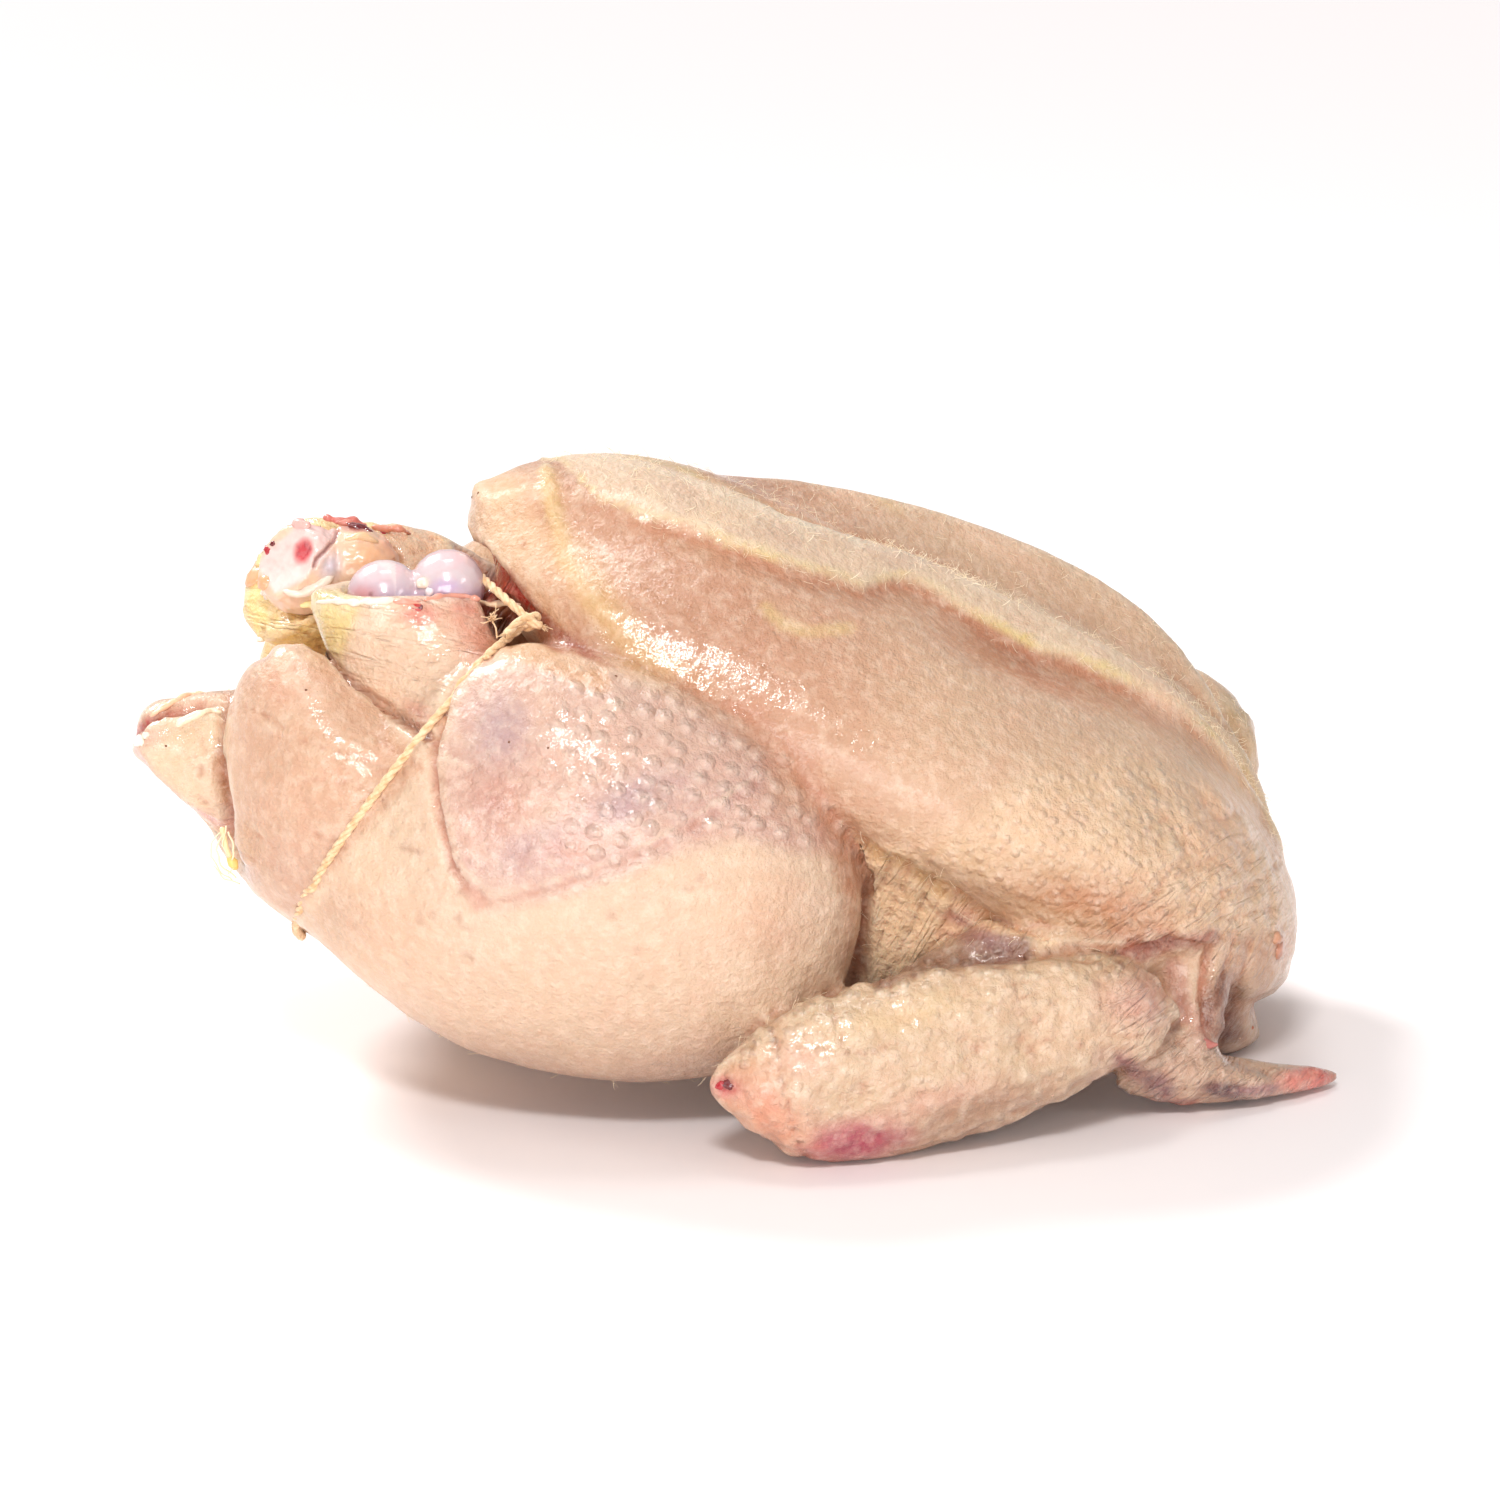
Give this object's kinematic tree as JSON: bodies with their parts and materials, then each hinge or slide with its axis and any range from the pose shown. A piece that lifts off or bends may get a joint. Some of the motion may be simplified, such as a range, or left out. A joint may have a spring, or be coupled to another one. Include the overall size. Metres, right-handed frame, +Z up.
{
  "type": "whole raw chicken",
  "caption": "Whole raw plucked chicken lying on its back, legs folded and hocks tied down with a loop of kitchen string, wings bent at the sides.",
  "frame": {"origin": "middle of the footprint, on the surface that the bird lies on", "axes": "+Z up through the breast, +X to the neck end and -X to the tail, -Y to the bird's left side, which faces the camera"},
  "size_m": [0.2612, 0.1898, 0.1354],
  "materials": {
    "skin": "moist satin, goose-pimpled",
    "near_bone": "wet gloss",
    "far_bone": "wet satin",
    "string": "matt twisted cotton"
  },
  "bodies": {
    "root": {"carcass": "skin", "near_shin_bone": "near_bone", "far_shin_bone": "far_bone", "string": "string"}
  },
  "joints": []
}
